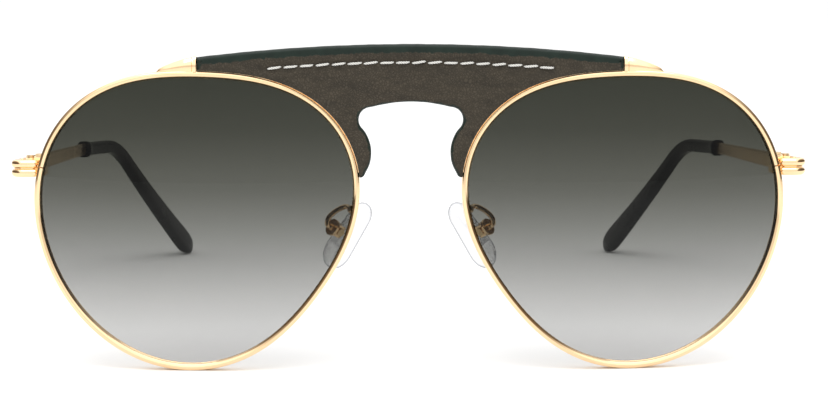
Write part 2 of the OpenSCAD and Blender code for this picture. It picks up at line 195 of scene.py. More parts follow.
def rounded(hx, hy, r, n=5):
    """Outline of a rectangle of half sizes hx and hy with corners of radius r."""
    r = min(r, hx * 0.999, hy * 0.999)
    return np.array(arc(hx - r, hy - r, r, 0, 90, n) + arc(-hx + r, hy - r, r, 90, 180, n)
                    + arc(-hx + r, -hy + r, r, 180, 270, n) + arc(hx - r, -hy + r, r, 270, 360, n))


# ------------------------------------------------------------------ materials
def material(name):
    m = bpy.data.materials.new(name)
    m.use_nodes = True
    t = m.node_tree
    t.nodes.clear()
    return m, t, t.nodes.new("ShaderNodeOutputMaterial")


def node(t, kind, **values):
    n = t.nodes.new(kind)
    for key, value in values.items():
        if key.startswith("p_"):
            setattr(n, key[2:], value)
        else:
            n.inputs[key.replace("_", " ")].default_value = value
    return n


def noise(t, where, scale, detail=3.0, rough=0.5):
    n = node(t, "ShaderNodeTexNoise", Scale=scale, Detail=detail, Roughness=rough)
    t.links.new(where, n.inputs["Vector"])
    return n.outputs["Fac"]


def ramp(t, value, stops):
    n = t.nodes.new("ShaderNodeValToRGB")
    while len(n.color_ramp.elements) < len(stops):
        n.color_ramp.elements.new(0.5)
    for e, (at, colour) in zip(n.color_ramp.elements, stops):
        e.position = at
        e.color = (*colour, 1) if len(colour) == 3 else colour
    t.links.new(value, n.inputs["Fac"])
    return n.outputs["Color"]


def remap(t, value, lo, hi, to_lo, to_hi):
    n = node(t, "ShaderNodeMapRange", From_Min=lo, From_Max=hi, To_Min=to_lo, To_Max=to_hi)
    t.links.new(value, n.inputs["Value"])
    return n.outputs["Result"]


def bump(t, height, distance, strength=1.0, normal=None):
    n = node(t, "ShaderNodeBump", Strength=strength, Distance=distance)
    t.links.new(height, n.inputs["Height"])
    if normal:
        t.links.new(normal, n.inputs["Normal"])
    return n.outputs["Normal"]


def coords(t):
    return t.nodes.new("ShaderNodeTexCoord").outputs["Object"]


def metal(name, low, high, rough, brush=None):
    """Polished metal: faint colour and roughness changes, and brushing along Y if asked."""
    m, t, out = material(name)
    p = node(t, "ShaderNodeBsdfPrincipled", Metallic=1.0)
    where = coords(t)
    cloud = noise(t, where, 180, 4)
    t.links.new(ramp(t, cloud, [(0.35, low), (0.65, high)]), p.inputs["Base Color"])
    t.links.new(remap(t, cloud, 0.3, 0.7, rough * 0.8, rough * 1.3), p.inputs["Roughness"])
    fine = noise(t, where, 2200, 2)
    normal = bump(t, fine, 0.000002, 0.35)
    if brush:
        s = node(t, "ShaderNodeMapping", Scale=brush)
        t.links.new(where, s.inputs["Vector"])
        normal = bump(t, noise(t, s.outputs["Vector"], 1, 3), 0.000006, 0.5, normal)
    t.links.new(normal, p.inputs["Normal"])
    t.links.new(p.outputs["BSDF"], out.inputs["Surface"])
    return m


def lens_material():
    """Smoke tint that is darkest at the top. Each face takes half of the tint."""
    m, t, out = material("gradient_lens")
    where = coords(t)
    z = node(t, "ShaderNodeSeparateXYZ")
    t.links.new(where, z.inputs[0])
    lo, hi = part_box("left_lens")
    level = remap(t, z.outputs["Z"], lo.z, hi.z, 0.0, 1.0)
    tints = [(0.0, (0.66, 0.66, 0.66)), (0.12, (0.53, 0.53, 0.525)), (0.25, (0.385, 0.385, 0.375)),
             (0.4, (0.232, 0.234, 0.222)), (0.5, (0.156, 0.158, 0.145)), (0.6, (0.101, 0.103, 0.090)),
             (0.7, (0.073, 0.075, 0.063)), (0.82, (0.046, 0.048, 0.038)), (1.0, (0.031, 0.0335, 0.0245))]
    tint = ramp(t, level, [(at, tuple(math.sqrt(c) for c in colour)) for at, colour in tints])
    clear = t.nodes.new("ShaderNodeBsdfTransparent")
    t.links.new(tint, clear.inputs["Color"])
    gloss = node(t, "ShaderNodeBsdfGlossy", Roughness=0.02)
    cloud = noise(t, where, 90, 2)
    t.links.new(remap(t, cloud, 0.3, 0.7, 0.012, 0.03), gloss.inputs["Roughness"])
    fres = node(t, "ShaderNodeFresnel", IOR=1.26)
    back = t.nodes.new("ShaderNodeNewGeometry").outputs["Backfacing"]
    front = node(t, "ShaderNodeMath", p_operation="SUBTRACT")
    front.inputs[0].default_value = 1.0
    t.links.new(back, front.inputs[1])
    share = node(t, "ShaderNodeMath", p_operation="MULTIPLY")
    t.links.new(fres.outputs[0], share.inputs[0])
    t.links.new(front.outputs[0], share.inputs[1])
    mix = t.nodes.new("ShaderNodeMixShader")
    t.links.new(share.outputs[0], mix.inputs[0])
    t.links.new(clear.outputs[0], mix.inputs[1])
    t.links.new(gloss.outputs[0], mix.inputs[2])
    t.links.new(mix.outputs[0], out.inputs["Surface"])
    return m


def clear_material(name, tint, edge, haze):
    """Clear plastic or silicone: greyer where it is seen edge on, a painted shade that stands in for the
    darkening that refraction gives at its edges.
    """
    m, t, out = material(name)
    where = coords(t)
    clear = t.nodes.new("ShaderNodeBsdfTransparent")
    facing = node(t, "ShaderNodeLayerWeight", Blend=0.42)
    # painted shade at the edges: the see-through colour greys towards the edge colour where the surface turns
    # away
    shade = ramp(t, facing.outputs["Facing"], [(0.0, tint), (0.3, tint), (0.8, edge)])
    t.links.new(shade, clear.inputs["Color"])
    gloss = t.nodes.new("ShaderNodeBsdfGlossy")
    cloud = noise(t, where, 700, 3)
    t.links.new(remap(t, cloud, 0.3, 0.7, 0.05, 0.13), gloss.inputs["Roughness"])
    fres = node(t, "ShaderNodeFresnel", IOR=1.41)
    back = t.nodes.new("ShaderNodeNewGeometry").outputs["Backfacing"]
    share = node(t, "ShaderNodeMath", p_operation="MULTIPLY_ADD")
    t.links.new(fres.outputs[0], share.inputs[0])
    t.links.new(remap(t, back, 0, 1, 1, 0), share.inputs[1])
    share.inputs[2].default_value = haze
    mix = t.nodes.new("ShaderNodeMixShader")
    t.links.new(share.outputs[0], mix.inputs[0])
    t.links.new(clear.outputs[0], mix.inputs[1])
    t.links.new(gloss.outputs[0], mix.inputs[2])
    t.links.new(mix.outputs[0], out.inputs["Surface"])
    return m


def leather_material(name, brown, crease_shade, painted):
    """Pebbled leather whose margin is painted, as far in as the mesh's paint value says. Its grain colour
    holds painted light: painted shade between the pebbles and in the sunk creases, and a painted highlight on
    the pebble tops.
    """
    m, t, out = material(name)
    p = node(t, "ShaderNodeBsdfPrincipled")
    p.inputs["Specular IOR Level"].default_value = 0.2
    where = coords(t)
    warp = node(t, "ShaderNodeTexNoise", Scale=420.0, Detail=2.0)
    t.links.new(where, warp.inputs["Vector"])
    bent = node(t, "ShaderNodeMixRGB", p_blend_type="LINEAR_LIGHT", Fac=0.0009)
    t.links.new(where, bent.inputs[1])
    t.links.new(warp.outputs["Color"], bent.inputs[2])
    cell = node(t, "ShaderNodeTexVoronoi", p_feature="DISTANCE_TO_EDGE", Scale=2300.0, Randomness=1.0)
    t.links.new(bent.outputs[0], cell.inputs["Vector"])
    pebble = remap(t, cell.outputs["Distance"], 0.0, 0.32, 0.0, 1.0)
    fine = noise(t, where, 5200, 4, 0.6)
    broad = noise(t, where, 160, 4, 0.55)
    creases = node(t, "ShaderNodeMapping", Scale=(260, 260, 900))
    t.links.new(where, creases.inputs["Vector"])
    crease = noise(t, creases.outputs["Vector"], 1.0, 4, 0.6)
    # painted light in the grain: each pebble is darker at its edges and brighter in its middle, which gives
    # painted shade between the pebbles and a painted highlight on their tops; broad adds tone at random
    shade = node(t, "ShaderNodeMath", p_operation="MULTIPLY")
    t.links.new(remap(t, pebble, 0, 1, 0.64, 1.1), shade.inputs[0])
    t.links.new(remap(t, broad, 0.3, 0.7, 0.93, 1.06), shade.inputs[1])
    # painted shade in the creases: where the crease noise sinks the bump, the colour turns to the darker one
    base = ramp(t, crease, [(0.3, crease_shade), (0.62, brown)])
    # the grain colour with its painted shade and painted highlight
    grain_with_painted_light = node(t, "ShaderNodeMixRGB", p_blend_type="MULTIPLY", Fac=1.0)
    t.links.new(base, grain_with_painted_light.inputs[1])
    t.links.new(shade.outputs[0], grain_with_painted_light.inputs[2])
    a = t.nodes.new("ShaderNodeAttribute")
    a.attribute_name = "paint"
    edge = node(t, "ShaderNodeMath", p_operation="ADD")
    t.links.new(a.outputs["Fac"], edge.inputs[0])
    t.links.new(remap(t, noise(t, where, 900, 4, 0.6), 0.25, 0.75, -0.3, 0.3), edge.inputs[1])
    paint = remap(t, edge.outputs[0], -0.06, 0.14, 0.0, 1.0)
    colour = node(t, "ShaderNodeMixRGB")
    t.links.new(paint, colour.inputs[0])
    t.links.new(grain_with_painted_light.outputs[0], colour.inputs[1])
    t.links.new(ramp(t, noise(t, where, 500, 3), [(0.3, painted), (0.75, tuple(1.5 * c for c in painted))]),
                colour.inputs[2])
    t.links.new(colour.outputs[0], p.inputs["Base Color"])
    rough = node(t, "ShaderNodeMixRGB")
    t.links.new(paint, rough.inputs[0])
    t.links.new(remap(t, pebble, 0, 1, 0.68, 0.5), rough.inputs[1])
    rough.inputs[2].default_value = (0.4, 0.4, 0.4, 1)
    t.links.new(rough.outputs[0], p.inputs["Roughness"])
    relief = node(t, "ShaderNodeMath", p_operation="MULTIPLY")
    t.links.new(pebble, relief.inputs[0])
    t.links.new(remap(t, paint, 0, 1, 1, 0.18), relief.inputs[1])
    normal = bump(t, relief.outputs[0], 0.00006, 0.9)
    normal = bump(t, crease, 0.0001, 0.5, normal)
    normal = bump(t, fine, 0.00003, 0.4, normal)
    t.links.new(normal, p.inputs["Normal"])
    t.links.new(p.outputs["BSDF"], out.inputs["Surface"])
    return m


def plastic_material(name, low, high, rough):
    """Polished acetate, with faint cloudy colour and a waver in the polish."""
    m, t, out = material(name)
    p = node(t, "ShaderNodeBsdfPrincipled")
    p.inputs["Specular IOR Level"].default_value = 0.28
    p.inputs["Coat Weight"].default_value = 0.08
    p.inputs["Coat Roughness"].default_value = 0.1
    where = coords(t)
    cloud = noise(t, where, 150, 4)
    t.links.new(ramp(t, cloud, [(0.35, low), (0.7, high)]), p.inputs["Base Color"])
    t.links.new(remap(t, cloud, 0.3, 0.7, rough * 0.8, rough * 1.3), p.inputs["Roughness"])
    t.links.new(bump(t, noise(t, where, 900, 3), 0.00001, 0.3), p.inputs["Normal"])
    t.links.new(p.outputs["BSDF"], out.inputs["Surface"])
    return m


def thread_material():
    """Waxed white thread: two plies wound round each other, darker in the grooves between them as painted
    shade, and fine fibres.
    """
    m, t, out = material("white_thread")
    p = node(t, "ShaderNodeBsdfPrincipled")
    p.inputs["Sheen Weight"].default_value = 0.3
    where = coords(t)
    a = t.nodes.new("ShaderNodeAttribute")
    a.attribute_name = "ply"
    wave = node(t, "ShaderNodeMath", p_operation="SINE")
    t.links.new(a.outputs["Fac"], wave.inputs[0])
    level = remap(t, wave.outputs[0], -1, 1, 0, 1)
    fibre = noise(t, where, 9000, 3)
    colour = node(t, "ShaderNodeMixRGB", p_blend_type="MULTIPLY", Fac=0.35)
    # painted shade between the plies: the colour is darkest where the plies' bump sinks
    t.links.new(ramp(t, level, [(0.0, (0.55, 0.52, 0.47)), (0.5, (0.86, 0.85, 0.81))]), colour.inputs[1])
    t.links.new(fibre, colour.inputs[2])
    t.links.new(colour.outputs[0], p.inputs["Base Color"])
    t.links.new(remap(t, fibre, 0.3, 0.7, 0.55, 0.8), p.inputs["Roughness"])
    t.links.new(bump(t, fibre, 0.00002, 0.5, bump(t, level, 0.00004, 0.6)), p.inputs["Normal"])
    t.links.new(p.outputs["BSDF"], out.inputs["Surface"])
    return m


GOLD = metal("polished_gold", (0.92, 0.66, 0.39), (0.97, 0.71, 0.43), 0.09)
GOLD_SATIN = metal("satin_gold", (0.86, 0.60, 0.36), (0.92, 0.66, 0.40), 0.22, (6000, 60, 6000))
SCREW = metal("screw_metal", (0.70, 0.50, 0.28), (0.80, 0.60, 0.34), 0.2)
LENS = lens_material()
GREEN = (0.008, 0.015, 0.011)
# in each leather material, the colour after the main one is the painted shade in its sunk creases
LEATHER = leather_material("brown_leather", (0.060, 0.049, 0.034), (0.042, 0.035, 0.025), GREEN)
PAINT = leather_material("green_edge_paint", GREEN, (0.006, 0.012, 0.009), GREEN)
THREAD = thread_material()
ACETATE = plastic_material("black_acetate", (0.0025, 0.0042, 0.0030), (0.006, 0.0085, 0.0065), 0.24)
# the second colour of each is the painted shade at its edges
SILICONE = clear_material("clear_silicone", (0.97, 0.97, 0.975), (0.36, 0.37, 0.40), 0.02)
INSERT = clear_material("clear_insert", (0.96, 0.96, 0.965), (0.45, 0.46, 0.48), 0.02)

# ------------------------------------------------------------------ rims and lenses
def rim(name, side):
    w, d, r = RIM_W / 2, RIM_D / 2, 0.22
    crown = [(w - r) * k for k in (0.6, 0.2, -0.2, -0.6)]
    land = [(x, -d + 0.05 * (abs(x - 0.12) / 0.2) ** 2) for x in (0.26, 0.19, 0.12, 0.05, -0.02)]
    bevel = [(-0.06, -d + 0.05), (-0.1, -d + 0.075), (-0.24, -d + 0.17), (-0.38, -d + 0.27),
             (-0.46, -d + 0.35), (-w + 0.02, -d + 0.46), (-w, -d + 0.54)]
    groove = [(-w, -0.3), (-0.14, 0), (-w, 0.42)]
    profile = (arc(w - r, -d + r, r, 0, -75, 5) + land + bevel + groove
               + arc(-w + r, d - r, r, 180, 90, 5) + [(-x, d + 0.04) for x in crown]
               + arc(w - r, d - r, r, 90, 0, 5) + [(w + 0.03, 0.35), (w + 0.04, 0), (w + 0.03, -0.35)])
    profile = np.array(profile)
    gap = math.radians(0.2)
    a = np.linspace(SPLIT + gap, SPLIT + 2 * math.pi - gap, 421)[:, None]
    rings = eye_place(outline_out(a, profile[:, 0]), profile[:, 1])
    verts, faces = loft(rings)
    make(f"{name}_rim_wire", verts, faces, GOLD, "front", [f"{name}_rim"], side, sharp=50)


def lens(name, side):
    inset, half = -RIM_W / 2 - 0.07, LENS_T / 2
    grid = [0.02] + list(np.linspace(0.06, 1, 20))
    wall = inset + 0.03
    edge = [(1, wall, -half + 0.05), (1, wall, -0.4), (1, -0.22, 0), (1, wall, 0.4), (1, wall, half - 0.05)]
    rows = [(f, inset, -half) for f in grid] + edge + [(f, inset, half) for f in grid[::-1]]
    a = np.linspace(0, 2 * math.pi, 181)[:-1]
    rings = [eye_place(f * outline_out(a, np.full(len(a), o)), d) for f, o, d in rows]
    verts, faces = loft(rings)
    make(f"{name}_gradient_lens", verts, faces, LENS, "front", [f"{name}_lens"], side, sharp=35)


# ------------------------------------------------------------------ leather bridge
BROW_Z, BROW_R, BROW_HALF = EYE_Z + 30.4, 290.0, 36.4
BRIDGE_R, BRIDGE_Y, SANDWICH = 400.0, 0.95, 1.1
SEAM_R = BROW_R - 3.0
rng = random.Random(7)


def bridge_y(x):
    return BRIDGE_Y + BRIDGE_R - np.sqrt(BRIDGE_R ** 2 - np.asarray(x) ** 2)


def brow_top(x, inset=0.0):
    return BROW_Z - BROW_R + np.sqrt((BROW_R - inset) ** 2 - np.asarray(x) ** 2)


def seam_z(x):
    return BROW_Z - BROW_R + np.sqrt(SEAM_R ** 2 - np.asarray(x) ** 2)


def rim_side(a, out):
    """Where the leather meets the rim at angle a, seen from the front."""
    p = outline_out(a, np.full(np.shape(a), out))
    x, z = p[..., 0], p[..., 1]
    behind = bridge_y(EYE_X + x) - x * math.sin(WRAP)
    return np.stack([EYE_X + x * math.cos(WRAP) - behind * math.tan(WRAP), EYE_Z + z], -1)


def resample(points, step):
    p = np.array(points, float)
    s = np.concatenate([[0], np.cumsum(np.linalg.norm(np.diff(p, axis=0), axis=1))])
    n = max(2, int(round(s[-1] / step)) + 1)
    t = np.linspace(0, s[-1], n)
    return np.stack([np.interp(t, s, p[:, 0]), np.interp(t, s, p[:, 1])], -1)


def half_outline():
    """The bridge's left half, from the keyhole's top round to the brow's top: points and painted margin.

    A margin below zero marks the edge that butts against the rim.
    """
    key = [(0.0, 46.75)] + [(x, 21.35 + math.sqrt(25.4 ** 2 - x * x)) for x in np.linspace(0.5, 6.7, 14)]
    corner = arc(6.7, 43.6, 2.25, 84, -35, 22)
    lobe = [(26 - x, z) for x, z in arc(13, 38, 6.2, 43.6, -33, 30)]
    toe = [(8.05, 34.05), (8.35, 33.8), (8.75, 33.7)]
    a = np.radians(np.linspace(10, 92, 400))
    edge = rim_side(a, RIM_W / 2 + 0.05)
    edge = edge[(edge[:, 1] > 33.75) & (edge[:, 0] < BROW_HALF)]
    end = [(BROW_HALF, edge[-1][1]), (BROW_HALF, float(brow_top(BROW_HALF)))]
    top = [(x, float(brow_top(x))) for x in np.linspace(BROW_HALF, 0, 60)]
    # the end by the gold cap gets a 0.75 mm margin: edge paint widened into painted shade at the joint with
    # the cap
    spans = [(key, 0.3), (corner, 0.34), (lobe, 0.36), (toe + [tuple(edge[0])], 0.36),
             (edge, -0.4), (end, 0.75), (top, 1.4)]
    pts, paint = [], []
    for points, width in spans:
        q = resample(points, 0.34)[:-1]
        pts.append(q)
        paint += [width] * len(q)
    return np.concatenate(pts), np.array(paint)


def full_outline():
    p, w = half_outline()
    q = p[1:][::-1] * [-1, 1]
    top = np.array([[0.0, float(brow_top(0))]])
    pts = np.concatenate([p, top, q])
    paint = np.concatenate([w, [1.4], w[1:][::-1]])
    for _ in range(3):
        spread = (np.roll(paint, 1).clip(0) + paint + np.roll(paint, -1).clip(0)) / 3
        paint = np.where(paint < 0, paint, spread)
    return pts, paint


OUTLINE, MARGIN = full_outline()
# the leather rolls over at its free edges and butts against the rims
ROLL = np.where(MARGIN < -0.2, 0.12, 1.0)
for _ in range(4):
    ROLL = np.where(ROLL < 0.13, ROLL, (np.roll(ROLL, 1) + ROLL + np.roll(ROLL, -1)) / 3)
# where the leather butts against the rims it gets a 0.36 mm dark margin: edge paint that is also painted
# shade in the joint between leather and rim
MARGIN = np.where(MARGIN < 0, 0.36, MARGIN)


def inset_outline(d):
    t = np.roll(OUTLINE, -1, 0) - np.roll(OUTLINE, 1, 0)
    t /= np.linalg.norm(t, axis=1, keepdims=True)
    inward = np.stack([t[:, 1], -t[:, 0]], -1)
    area = np.sum(OUTLINE[:, 0] * np.roll(OUTLINE[:, 1], -1) - np.roll(OUTLINE[:, 0], -1) * OUTLINE[:, 1])
    if area > 0:
        inward = -inward
    return OUTLINE + d * ROLL[:, None] * inward


STITCHES = [(i, (i - 8.5) * 2.72) for i in range(18)]
STITCH_HALF = 1.19
STITCH_RISE = math.radians(5.5)
HOLES = np.array([[x + k * 1.18, float(seam_z(x)) + k * 1.18 * (STITCH_RISE - x / SEAM_R)]
                  for _, x in STITCHES for k in (-1, 1)])


def relief(p):
    """How far the leather's face stands out from its plain curve."""
    x, z = p[:, 0], p[:, 1]
    d = np.abs(z - seam_z(x))
    fade = np.clip((26.5 - np.abs(x)) / 1.5, 0, 1)
    out = -0.13 * np.exp(-(d / 0.55) ** 2) * fade + 0.05 * np.exp(-((d - 1.5) / 0.8) ** 2) * fade
    near = np.min(np.linalg.norm(p[:, None] - HOLES[None], axis=2), axis=1)
    out -= 0.16 * np.exp(-(near / 0.3) ** 2)
    out += 0.03 * np.sin(x * 0.61 + 1.3) * np.sin(z * 0.83 + x * 0.21)
    return out


def leather(name, face, node_name, seam):
    """One leather layer: face is -1 for the front and 1 for the back."""
    bands = [(0.0, 0.03), (0.0, 0.42), (0.03, 0.66), (0.11, 0.85), (0.26, 0.99), (0.48, 1.07), (0.8, 1.1)]
    n = len(OUTLINE)
    flat, depth, paint = [], [], []
    for inset, t in bands:
        ring = inset_outline(inset)
        flat.append(ring)
        depth.append(np.full(n, t))
        paint.append(MARGIN - inset)
    inner = flat[-1]
    gx, gz = np.meshgrid(np.arange(-36.5, 36.6, 0.62), np.arange(33.5, 57, 0.62))
    grid = np.stack([gx + (np.arange(gx.shape[0])[:, None] % 2) * 0.31, gz], -1).reshape(-1, 2)
    extra = [grid]
    if seam:
        for r in (0.0, 0.22, 0.45):
            k = np.arange(1 if r == 0 else 7) * 2 * math.pi / 7
            extra.append((HOLES[:, None] + r * np.stack([np.cos(k), np.sin(k)], -1)[None]).reshape(-1, 2))
        sx = np.arange(-26, 26.01, 0.34)
        extra += [np.stack([sx, seam_z(sx) + o], -1) for o in (-0.8, -0.5, 0.5, 0.8)]
    cloud = np.concatenate(extra)
    gap = np.min(np.linalg.norm(cloud[:, None] - inner[None], axis=2), axis=1)
    cloud = cloud[(gap > 0.3) & inside(cloud, inner)]
    base = [Vector(p) for p in np.concatenate([inner, cloud])]
    loop = [(i, (i + 1) % n) for i in range(n)]
    got = delaunay_2d_cdt(base, loop, [], 1, 1e-5)
    pts, tris, origin = np.array([tuple(v) for v in got[0]]), got[2], got[3]
    where = {}
    for i, sources in enumerate(origin):
        for s in sources:
            if s < n:
                where[i] = (len(bands) - 1) * n + s
    new = {}
    extra_pts = []
    for i in range(len(pts)):
        if i not in where:
            new[i] = len(bands) * n + len(extra_pts)
            extra_pts.append(pts[i])
    extra_pts = np.array(extra_pts)
    flat_all = np.concatenate(flat + [extra_pts])
    away = np.linalg.norm(extra_pts[:, None] - OUTLINE[None], axis=2)
    t_all = np.concatenate(depth + [np.full(len(extra_pts), SANDWICH)])
    if seam:
        t_all[len(bands) * n:] += relief(extra_pts)
    paint_all = np.concatenate(paint + [MARGIN[np.argmin(away, axis=1)] - np.min(away, axis=1)])
    y = bridge_y(flat_all[:, 0]) + face * t_all
    verts = np.stack([flat_all[:, 0], y, flat_all[:, 1]], -1)
    faces = []
    for b in range(0, (len(bands) - 1) * n, n):
        ring = [(b + k, b + (k + 1) % n) for k in range(n)]
        faces += [(k, m, m + n, k + n) for k, m in ring]
    faces += [tuple(where.get(i, new.get(i)) for i in tri) for tri in tris]
    back = delaunay_2d_cdt([Vector(p) for p in flat[0]], loop, [], 1, 1e-5)
    source = [s[0] for s in back[3]]
    faces += [tuple(source[i] for i in tri) for tri in back[2]]
    make(name, verts, faces, LEATHER, "front", [node_name], attrs={"paint": paint_all})


def inside(points, polygon):
    x, z = points[:, 0], points[:, 1]
    result = np.zeros(len(points), bool)
    px, pz = polygon[:, 0], polygon[:, 1]
    j = len(polygon) - 1
    for i in range(len(polygon)):
        crosses = (pz[i] > z) != (pz[j] > z)
        with np.errstate(divide="ignore", invalid="ignore"):
            at = (px[j] - px[i]) * (z - pz[i]) / (pz[j] - pz[i]) + px[i]
        result ^= crosses & (x < at)
        j = i
    return result


def painted_edge():
    """The band of paint that seals the edges of the leather and the plate between them."""
    section = [(0.35, -0.5), (0.0, -0.62), (-0.04, -0.45), (-0.055, -0.15), (-0.055, 0.15), (-0.04, 0.45),
               (0.0, 0.62), (0.35, 0.5)]
    s = np.arange(len(OUTLINE)) * 0.34
    ripple = 0.012 * np.sin(s * 0.9) + 0.009 * np.sin(s * 2.3 + 1)
    rings = []
    for inset, t in section:
        flat = inset_outline(inset)
        if inset < 0:
            flat += (inset_outline(1.0) - OUTLINE) * ripple[:, None]
        y = bridge_y(flat[:, 0]) + t
        rings.append(np.stack([flat[:, 0], y, flat[:, 1]], -1))
    rings = np.array(rings).transpose(1, 0, 2)
    verts, faces = loft(rings, closed=True)
    make("bridge_painted_edge", verts, faces, PAINT, "front", ["leather_edge"],
                attrs={"paint": np.full(len(verts), 1.0)})


TWIST = 7.5  # the plies' turn, in radians for each millimetre


def stitching():
    parts = []
    for i, x in STITCHES:
        wob = rng.uniform(-1, 1)
        angle = STITCH_RISE + math.radians(2 * wob) - math.asin(x / SEAM_R)
        nx = x / (BRIDGE_R + SANDWICH)
        normal = np.array([nx, -math.sqrt(1 - nx * nx), 0])
        along = np.array([math.cos(angle), math.cos(angle) * nx, math.sin(angle)])
        along /= np.linalg.norm(along)
        across = np.cross(normal, along)
        centre = np.array([x + 0.03 * rng.uniform(-1, 1), float(bridge_y(x)) - SANDWICH,
                           float(seam_z(x)) + 0.03 * wob])
        u = np.linspace(-1, 1, 41)
        length = STITCH_HALF + 0.04 * rng.uniform(-1, 1)
        lift = 0.15 - 0.42 * np.abs(u) ** 6 + 0.015 * np.sin(u * 4 + i)
        lie = 0.04 * wob * np.sin(u * math.pi)
        rings = []
        for k, s in enumerate(u):
            c = centre + along * s * length + normal * lift[k] + across * lie[k]
            phi = np.arange(16) * 2 * math.pi / 16
            twist = s * length * TWIST + i
            r = 0.185 * (1 - 0.55 * abs(s) ** 5) * (1 + 0.18 * np.cos(2 * (phi - twist)))
            rings.append(c + (r * np.cos(phi))[:, None] * across + (0.86 * r * np.sin(phi))[:, None] * normal)
        verts, faces = loft(rings)
        parts.append((verts, faces))
    verts, faces = join(parts)
    n = 16
    ply = []
    for i, _ in STITCHES:
        for s in np.linspace(-1, 1, 41):
            ply += [2 * (k * 2 * math.pi / n - (s * STITCH_HALF * TWIST + i)) + math.pi / 2 for k in range(n)]
    make("brow_stitching", verts, faces, THREAD, "front", ["stitching"], attrs={"ply": ply})


def chaikin(points, times, keep=0.18):
    p = np.asarray(points, float)
    for _ in range(times):
        q = np.roll(p, -1, 0)
        p = np.stack([p * (1 - keep) + q * keep, p * keep + q * (1 - keep)], 1).reshape(-1, 2)
        keep = 0.25
    return p


def brow_cap(name, side):
    """Gold thorn-shaped cap at the leather's end: a collar, an upper facet and a front facet."""
    a = np.radians(np.linspace(80, 125, 400))
    top = eye_place(outline_out(a, np.full(400, RIM_W / 2)), 0.0)
    heights = ([0, 0.27, 0.54, 0.81, 0.93, 1.0], [2.35, 2.0, 1.5, 0.93, 0.6, 0.12])
    x0, x1 = 36.75, 43.3
    collar = [(-0.3, 0.02), (-0.27, 0.1), (0, 0.14), (0.27, 0.1), (0.3, 0.0), (0.31, -0.16), (0.42, -0.16)]
    rows = [(x0 + x, 0.0, proud) for x, proud in collar]
    along = list(np.linspace(0.03, 0.9, 16)) + [0.94, 0.97, 0.99, 1.0]
    rows += [(x0 + 0.3 + (x1 - x0 - 0.3) * t, t, 0.0) for t in along]
    rings = []
    for x, t, proud in rows:
        z_rim = float(np.interp(x, top[:, 0], top[:, 2]))
        y_rim = float(np.interp(x, top[:, 0], top[:, 1]))
        h = float(np.interp(t, *heights))
        taper = 1 - 0.55 * t ** 1.5
        front, back = y_rim - 1.16 * taper - proud, y_rim + 1.12 * taper + proud
        crease = z_rim + 0.48 * h
        section = [(front + 0.06, z_rim - 0.35), (front, crease), (front + 0.62 * taper, z_rim + h + proud),
                   (back - 0.5 * taper, z_rim + h + proud), (back, crease), (back - 0.06, z_rim - 0.35)]
        section = chaikin(section, 3, 0.14)
        rings.append(np.stack([np.full(len(section), x), section[:, 0], section[:, 1]], -1))
    verts, faces = loft(rings)
    make(f"{name}_brow_cap_shell", verts, faces, GOLD, "front", [f"{name}_brow_cap"], side, sharp=32)


# ------------------------------------------------------------------ end pieces and small metal parts
def end_piece(name, side):
    r, lug_x, front, corner = 0.76, 2.1, -5.25, 1.6
    head = np.array([0, 0.03, 0.1, 0.22, 0.38, 0.56, 0.76])
    start = -1.92
    path = [(start + h, front) for h in head] + [(x, front) for x in np.linspace(-0.9, 0.3, 5)]
    path += [(lug_x - corner + corner * math.cos(t), front + corner + corner * math.sin(t))
             for t in np.radians(np.linspace(-90, 0, 15))]
    path += [(lug_x, y) for y in np.linspace(front + corner + 0.3, -0.15, 8)] + [(lug_x, -0.07)]
    radius = np.full(len(path), r)
    radius[:7] = np.sqrt(np.maximum(r * r - (r - head) ** 2, 0.0009))
    radius[-1] = r - 0.1
    parts = []
    for m in (-1, 1):
        line = np.array([(x, y, m * r * 1.0) for x, y in path])
        parts.append(tube(line, radius, 28, (0, 0, 1)))
    web = np.array([(x, y, 0.0) for x, y in path[6:-1]])
    parts.append(tube(web, 0.3, 10, (0, 0, 1)))
    verts, faces = join(parts)
    make(f"{name}_end_piece_wires", hinge_place(verts), faces, GOLD, "front",
         [f"{name}_end_piece"], side)


def bevelled(node_name, body, surface, width):
    """A copy of a small CAD part with its edges rounded."""
    source = frame["nodes"][node_name]
    mesh = source.data.copy()
    bm = bmesh.new()
    bm.from_mesh(mesh)
    bmesh.ops.remove_doubles(bm, verts=bm.verts, dist=2e-6)
    bmesh.ops.dissolve_limit(bm, angle_limit=math.radians(4), verts=bm.verts, edges=bm.edges)
    bmesh.ops.recalc_face_normals(bm, faces=bm.faces)
    bm.to_mesh(mesh)
    bm.free()
    mesh.materials.clear()
    mesh.materials.append(surface)
    mesh.shade_smooth()
    obj = bpy.data.objects.new(f"{node_name}_part", mesh)
    bpy.context.scene.collection.objects.link(obj)
    b = obj.modifiers.new("edges", "BEVEL")
    b.width, b.segments, b.limit_method, b.angle_limit = width * MM, 2, "ANGLE", math.radians(40)
    b.use_clamp_overlap = True
    b.harden_normals = True
    mesh.set_sharp_from_angle(angle=math.radians(40))
    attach(obj, body)
    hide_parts(node_name)


# ------------------------------------------------------------------ temples
TEMPLE_L, EAR_R, EAR_BEND, TOE_IN, MOUTH_S = 88.0, 16.0, math.radians(40), 17.5, 74.0
TIP_END_H = 1.9
EAR_ARC = EAR_R * EAR_BEND
END_SLOPE = SLOPE + EAR_BEND
LEG = (HINGE[2] - TEMPLE_L * math.sin(SLOPE) - EAR_R * (math.cos(SLOPE) - math.cos(END_SLOPE))
       - TIP_END_H * math.cos(END_SLOPE)) / math.sin(END_SLOPE)
TEMPLE_END = TEMPLE_L + EAR_ARC + LEG


